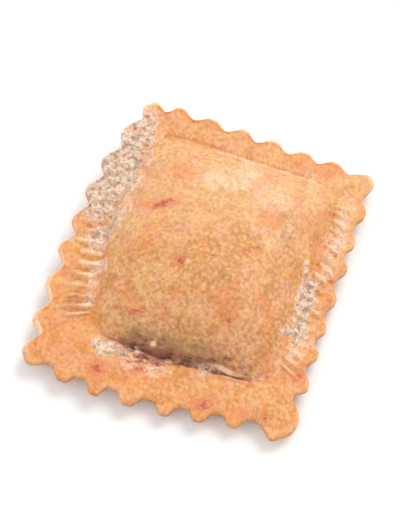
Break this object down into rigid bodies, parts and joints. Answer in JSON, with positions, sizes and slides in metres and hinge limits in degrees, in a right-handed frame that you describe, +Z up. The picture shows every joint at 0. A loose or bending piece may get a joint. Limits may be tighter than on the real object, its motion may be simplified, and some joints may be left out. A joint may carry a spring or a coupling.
{
  "type": "raviolo",
  "caption": "Fresh uncooked filled pasta: a rectangular pillow of dough round a filling, with a ribbed, pressed seal and a fluted edge.",
  "frame": {"origin": "on the surface the raviolo rests on, under the middle of its outline", "axes": "+Z up, out of the crown; +Y along the long side, from the front to the back; +X along the short side"},
  "size_m": [0.0542, 0.0626, 0.0137],
  "materials": {
    "dough": "matte fresh egg pasta dough, orange-tan",
    "flour": "dry, powdery",
    "flecks": "soft red vegetable flecks in the dough"
  },
  "bodies": {
    "root": {"raviolo": "dough"}
  },
  "joints": []
}
